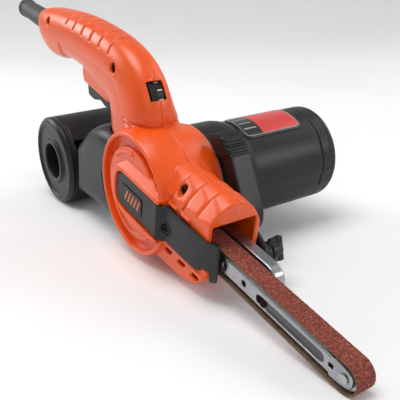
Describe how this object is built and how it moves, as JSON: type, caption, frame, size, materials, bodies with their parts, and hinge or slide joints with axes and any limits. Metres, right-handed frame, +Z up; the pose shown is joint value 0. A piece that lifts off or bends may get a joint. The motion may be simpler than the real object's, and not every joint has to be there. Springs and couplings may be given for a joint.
{
  "type": "handheld belt sander",
  "caption": "Handheld narrow-belt sander: slim belt arm, cross-mounted motor, bow handle with trigger and speed dial, and a dust can behind.",
  "frame": {"origin": "middle of the bounding box at its bottom, on the surface the tool lies on with its belt nose and dust can", "axes": "+X towards the belt's nose, +Y towards the motor, +Z up; the belt arm points 12 degrees below +X"},
  "size_m": [0.4434, 0.1674, 0.1709],
  "materials": {
    "orange_plastic": "satin moulded orange plastic",
    "black_plastic": "fine-textured black moulded plastic",
    "dark_plastic": "dull black plastic",
    "steel": "turned bright steel",
    "laminated_steel": "stacked laminations",
    "copper": "varnished copper wire and bars",
    "brass": "pressed brass",
    "carbon": "carbon block",
    "aluminium": "dull silver, lightly scratched",
    "abrasive_cloth": "red-brown aluminium oxide grit on brown cloth",
    "rubber": "soft black rubber",
    "capacitor_case": "potted film capacitor",
    "circuit_board": "green circuit board",
    "label_red": "printed label, plain red and black fields",
    "badge_orange": "plain inlaid badge"
  },
  "bodies": {
    "housing": {"left_shell": "orange_plastic", "right_shell": "orange_plastic", "handle_screw": "steel", "grip_screw": "steel", "hood_screw": "steel", "belt_cover": "black_plastic", "belt_cover_screw": "dark_plastic", "badge_plate": "badge_orange", "motor_housing": "black_plastic", "motor_end_cap": "black_plastic", "end_cap_screw_1": "steel", "end_cap_screw_2": "steel", "motor_label": "label_red", "stator_core": "laminated_steel", "upper_field_coil": "copper", "lower_field_coil": "copper", "front_bearing": "steel", "rear_bearing": "steel", "front_brush_holder": "brass", "rear_brush_holder": "brass", "front_brush": "carbon", "rear_brush": "carbon", "tension_bracket": "dark_plastic", "lever_pin": "steel", "tension_spring": "steel", "dust_duct": "black_plastic", "dust_can": "black_plastic", "trigger_pin": "steel", "trigger_spring": "steel", "switch_body": "dark_plastic", "control_board": "circuit_board", "capacitor": "capacitor_case", "cord_sleeve": "rubber", "cord_clamp": "dark_plastic", "clamp_screw_1": "steel", "clamp_screw_2": "steel", "dust_can_cover": "black_plastic"},
    "rotor": {"motor_shaft": "steel", "armature_core": "laminated_steel", "front_winding": "copper", "rear_winding": "copper", "commutator": "copper", "dust_impeller": "dark_plastic", "cooling_fan": "dark_plastic", "drive_roller": "rubber"},
    "arm": {"arm_bar": "aluminium", "support_bar": "aluminium", "arm_bolt_1": "steel", "arm_bolt_2": "steel", "nose_axle": "steel", "sanding_belt": "abrasive_cloth"},
    "nose_roller": {"nose_roller": "steel"},
    "tension_lever": {"tension_lever": "black_plastic"},
    "tracking_knob": {"tracking_knob": "black_plastic"},
    "trigger": {"trigger": "dark_plastic"},
    "speed_dial": {"speed_dial": "dark_plastic"}
  },
  "joints": [
    {"name": "rotor_spin", "type": "hinge", "parent": "housing", "child": "rotor", "pos_m": [0.01709, -0.06275, 0.05087], "axis": [0, 1, 0], "continuous": true},
    {"name": "lever_swing", "type": "hinge", "parent": "housing", "child": "tension_lever", "pos_m": [0.07393, -0.01975, 0.03675], "axis": [0, 1, 0], "range_deg": [0, 50]},
    {"name": "arm_slide", "type": "slide", "parent": "housing", "child": "arm", "axis": [0.9781, 0, -0.2079], "range_m": [-0.006, 0], "stiffness_N_per_m": 2000, "springref_m": 0.004, "deforming": ["tension_spring"]},
    {"name": "nose_spin", "type": "hinge", "parent": "arm", "child": "nose_roller", "pos_m": [0.21227, -0.06275, 0.00939], "axis": [0, 1, 0], "continuous": true},
    {"name": "tracking_turn", "type": "hinge", "parent": "housing", "child": "tracking_knob", "pos_m": [0.1035, -0.02275, 0.02433], "axis": [0, 1, 0], "range_deg": [-90, 90]},
    {"name": "trigger_squeeze", "type": "hinge", "parent": "housing", "child": "trigger", "pos_m": [-0.04187, -0.05475, 0.10277], "axis": [0, 1, 0], "range_deg": [0, 6.5], "stiffness_Nm_per_rad": 0.6, "springref_deg": -7.45, "deforming": ["trigger_spring"]},
    {"name": "dial_turn", "type": "hinge", "parent": "housing", "child": "speed_dial", "pos_m": [0.00717, -0.05475, 0.11371], "axis": [0, 1, 0], "range_deg": [-135, 135]}
  ],
  "couplings": [
    {"joint": "nose_spin", "follows": "rotor_spin", "ratio": 1},
    {"joint": "lever_swing", "follows": "arm_slide", "rad_per_m": -145.44}
  ]
}
